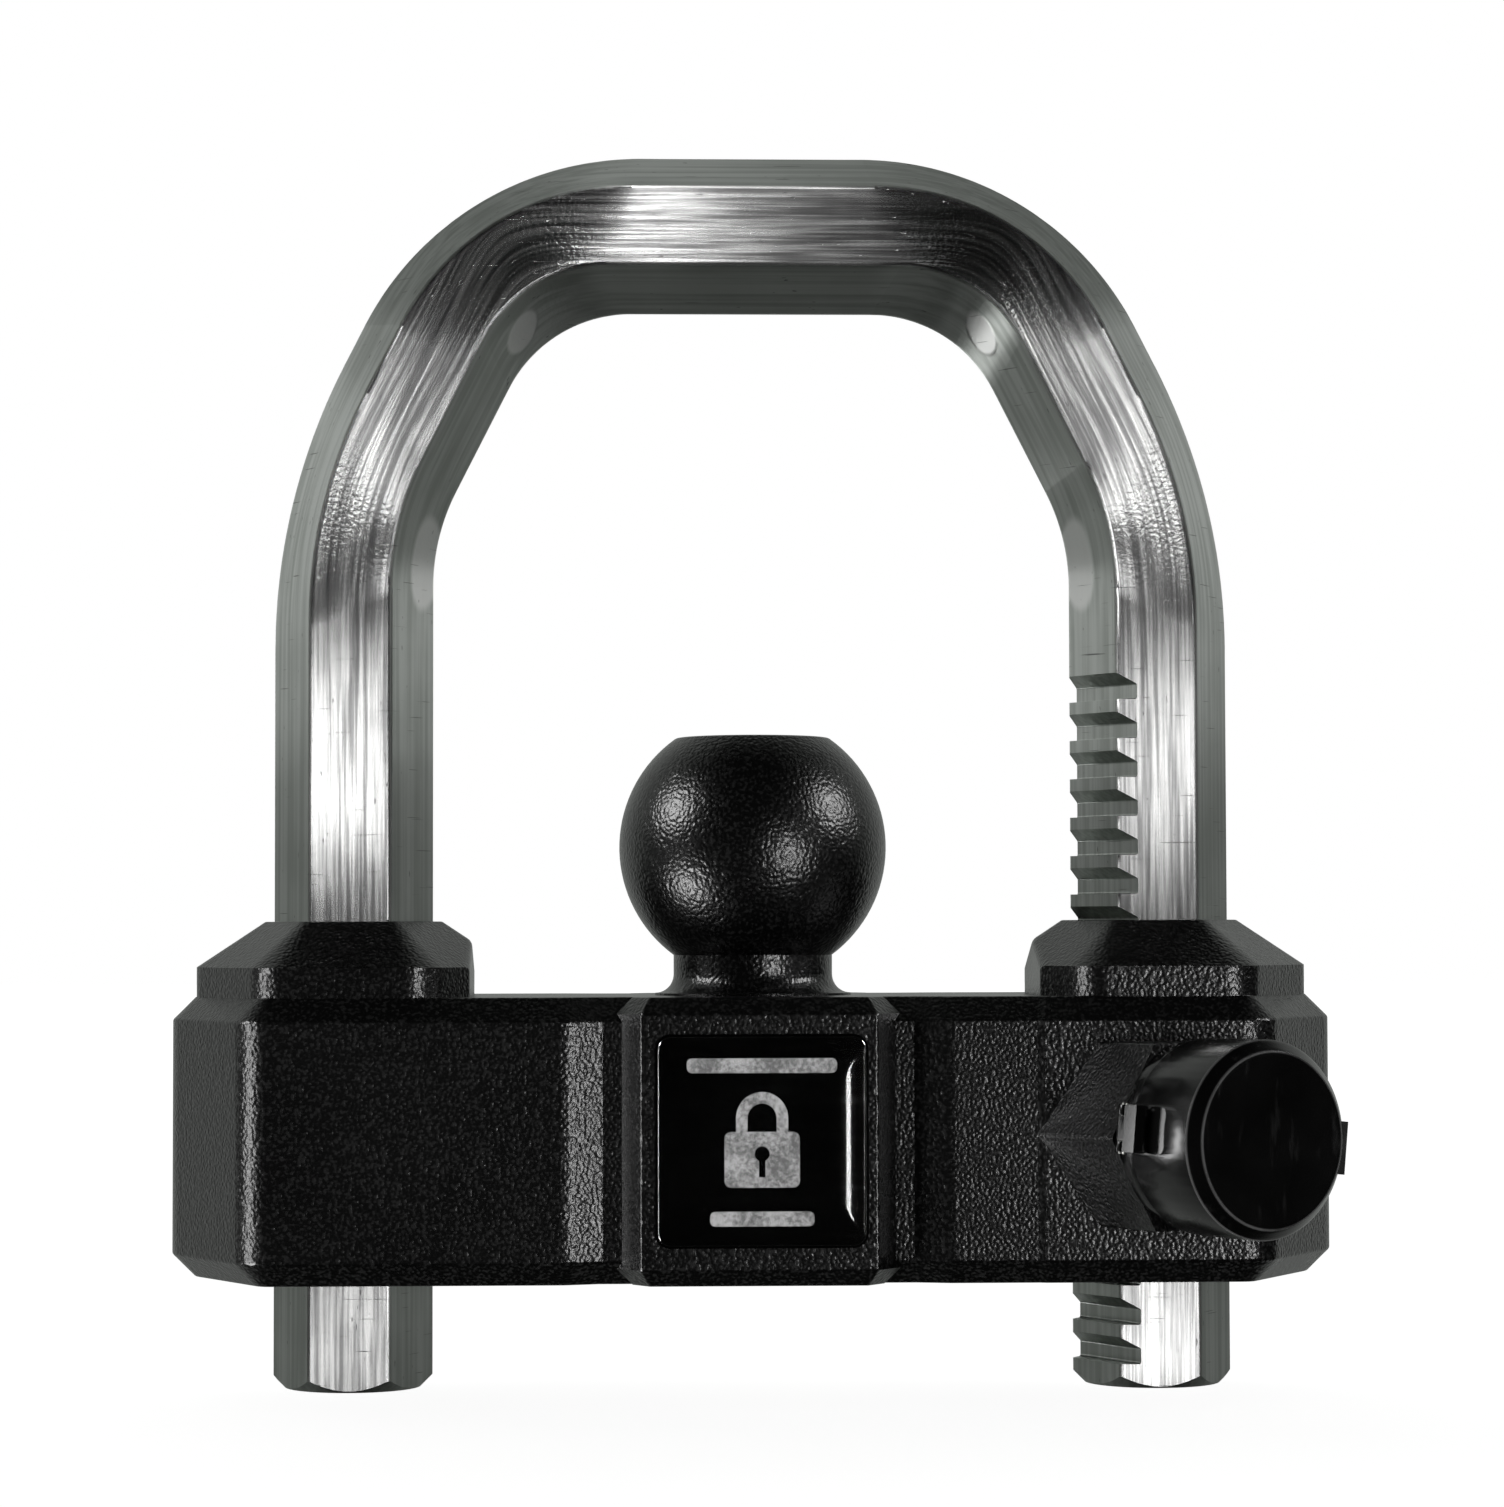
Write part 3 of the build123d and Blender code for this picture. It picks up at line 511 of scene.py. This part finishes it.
def finishes(resin):
    """Gives each CAD node its finish."""
    zinc = turned_metal("zinc_plated_steel", (0.38, 0.38, 0.36, 1), (0.62, 0.62, 0.58, 1), 0.26, 90)
    brass = turned_metal("lock_brass", (0.42, 0.28, 0.10, 1), (0.72, 0.53, 0.24, 1), 0.22, 60)
    steel = turned_metal("hardened_steel", grey(0.10), grey(0.28), 0.32, 500)
    paint(powder_coat(), "lock_body", "tow_ball")
    paint(black_plastic(), "dust_cap", "cap_ring")
    paint(brushed_bar(), "shackle")
    paint(brass, "cylinder_shell", "lock_plug", "wafers")
    paint(zinc, "ball_screw", "ball_washer", "plug_clip", "tail_cam", "shell_pin", "pawl_spring", "hinge_pin")
    paint(steel, "pawl")
    paint(rubber(), "shell_seal")
    paint(foil(), "label_foil")
    paint(silver_print(), "label_print")
    paint(resin, "label_dome")


# ======================================================================== stage, light and camera
def stage_floor():
    """A plain pale floor under the legs' ends. It is a backdrop only, so it casts and mirrors nothing."""
    half = 6.0
    mesh = bpy.data.meshes.new("floor")
    corners = [(u * half, v * half, CAD_BOX[0].z) for u, v in ((-1, -1), (1, -1), (1, 1), (-1, 1))]
    mesh.from_pydata(corners, [], [(0, 1, 2, 3)])
    floor = bpy.data.objects.new("floor", mesh)
    bpy.context.scene.collection.objects.link(floor)
    s = Shader.named("pale_floor")
    distance = s.node("VectorMath", {0: s.coords()}, operation="LENGTH").outputs["Value"]
    # The floor's own glow, with painted shade: it glows a little less near the object.
    glow_and_painted_shade = s.span(distance, 0.15, 0.9, 0.94, 1.0)           # a little less near the object
    pale = s.set(Base_Color=grey(0.8), Roughness=1.0, Specular_IOR_Level=0.0,
                 Emission_Color=grey(1.0), Emission_Strength=glow_and_painted_shade)
    floor.data.materials.append(pale)
    floor.visible_glossy = False
    floor.visible_shadow = False
    floor.visible_transmission = False


def studio_world():
    """White to the camera. To the object it is a room with a grey wall behind, dark in front and above."""
    world = bpy.data.worlds.new("studio")
    bpy.context.scene.world = world
    s = Shader(world)
    s.tree.nodes.clear()
    direction = s.node("SeparateXYZ", {0: s.node("TexCoord").outputs["Generated"]}).outputs
    towards_left = s.math("MULTIPLY_ADD", direction[0], -0.06, direction[1])
    behind = s.span(towards_left, 0.33, 0.50)               # the wall's near ends
    wall_foot = s.span(direction[2], -0.75, -0.15, 0.52, 1.0)
    below_ceiling = s.span(direction[2], 0.87, 0.96, 1.0, 0.0)
    wall = s.math("MULTIPLY", s.math("MULTIPLY", behind, wall_foot), below_ceiling)
    level = s.math("MULTIPLY_ADD", wall, 0.44, 0.005)
    tint = s.mix(level, grey(0.0), (0.96, 1.0, 0.96, 1))
    camera_ray = s.node("LightPath").outputs["Is Camera Ray"]
    seen = s.node("Background", {0: grey(1.0), 1: 1.0}).outputs[0]
    lit = s.node("Background", {0: tint, 1: 1.0}).outputs[0]
    mixed = s.node("MixShader", {0: camera_ray, 1: lit, 2: seen}).outputs[0]
    s.tree.links.new(mixed, s.node("OutputWorld").inputs[0])


def lit_by(name, objects):
    """A collection that limits a lamp to some objects."""
    group = bpy.data.collections.new(name)
    for ob in objects:
        group.objects.link(ob)
    return group


def softbox(name, place, size, power, lit):
    """A rectangular soft light at place that faces the origin, and shines only on the collection lit."""
    light = bpy.data.lights.new(name, "AREA")
    light.shape = "RECTANGLE"
    light.size, light.size_y = size
    light.energy = power
    lamp = bpy.data.objects.new(name, light)
    lamp.location = place
    lamp.rotation_euler = (-Vector(place)).to_track_quat("-Z", "Y").to_euler()
    lamp.visible_camera = False
    lamp.light_linking.receiver_collection = lit
    bpy.context.scene.collection.objects.link(lamp)
    return lamp


def black_lights(drop):
    """Soft boxes at the sides and a strip at the front right, for all but the shackle."""
    others = [ob for name, ob in NODES.items() if name != "shackle"]
    coated = lit_by("lit_coated", others)
    rest = lit_by("lit_rest", others + [drop])
    body = lit_by("lit_body", [NODES["lock_body"], NODES["label_print"], drop])
    cap = lit_by("lit_cap", [NODES["dust_cap"]])
    label = lit_by("lit_label", [drop])
    softbox("left_high", (-0.80, -0.14, 0.40), (0.30, 0.30), 5.0, rest)
    softbox("left_low", (-0.70, -0.28, -0.44), (0.26, 0.30), 5.0, rest)
    softbox("right_high", (0.80, -0.16, 0.42), (0.30, 0.30), 4.0, rest)
    softbox("left_level", (-0.80, -0.38, -0.06), (0.24, 0.30), 3.0, body)
    softbox("cap_glow", (-0.675, 0.40, 0.38), (0.25, 0.25), 0.75, cap)
    softbox("front_strip", (0.45, -0.80, -0.12), (0.10, 0.36), 3.2, coated)
    label_strip = softbox("label_strip", (0.30, -0.887, -0.095), (0.045, 0.16), 0.5, label)
    label_strip.visible_transmission = False


def bar_lights():
    """Lamps for the shackle alone. Each sits where one of the bar's faces mirrors it to the camera."""
    bar = lit_by("lit_bar", [NODES["shackle"]])
    side_lights(-1, bar, glow_and_painted_shade=0.55, leg=0.32, foot=0.13, slant=0.42, slant_z=0.275)
    side_lights(1, bar, glow_and_painted_shade=0.50, leg=0.18, foot=0.26, slant=0.34, slant_z=0.250)
    softbox("left_below", (-0.70, 0.50, -0.47), (0.45, 0.26), 1.10, bar)
    softbox("top_strip", (-0.014, -0.80, 0.62), (0.034, 0.40), 0.8, bar)
    softbox("top_fill", (0.06, -0.80, 0.62), (0.10, 0.40), 0.10, bar)


def side_lights(side, bar, glow_and_painted_shade, leg, foot, slant, slant_z):
    """One side's lamps, with the power of each: on the side faces, the leg, its foot and the slant."""
    softbox(f"side_glow_{side}", (side * 0.80, 0.48, 0.30), (0.50, 0.50), glow_and_painted_shade, bar)
    softbox(f"leg_strip_{side}", (side * 0.30, -0.85, 0.050), (0.30, 0.066), leg, bar)
    softbox(f"foot_strip_{side}", (side * 0.30, -0.85, -0.172), (0.30, 0.055), foot, bar)
    softbox(f"slant_box_{side}", (side * 0.36, -0.84, slant_z), (0.14, 0.11), slant, bar)


def camera():
    data = bpy.data.cameras.new("camera")
    data.lens = CAMERA_LENS
    data.sensor_width = 36.0
    data.clip_start = 0.01
    cam = bpy.data.objects.new("camera", data)
    yaw, pitch, roll = (math.radians(angle) for angle in CAMERA_TURN)
    turn = Matrix.Rotation(yaw, 3, "Z") @ Matrix.Rotation(pitch, 3, "X") @ Matrix.Rotation(roll, 3, "Y")
    look_level = Matrix.Rotation(math.radians(90), 3, "X")
    cam.rotation_euler = (turn @ look_level).to_euler()
    cam.location = CAMERA_PLACE
    bpy.context.scene.collection.objects.link(cam)
    bpy.context.scene.camera = cam


# ======================================================================== the scene
RESIN = clear_resin()
finishes(RESIN)
soften("dust_cap", 0.40 * MM, 28)
soften("cap_ring", 0.15 * MM, 28)
DROP = resin_drop(RESIN)
stage_floor()
studio_world()
black_lights(DROP)
bar_lights()
camera()
bpy.context.scene.view_settings.view_transform = "Standard"
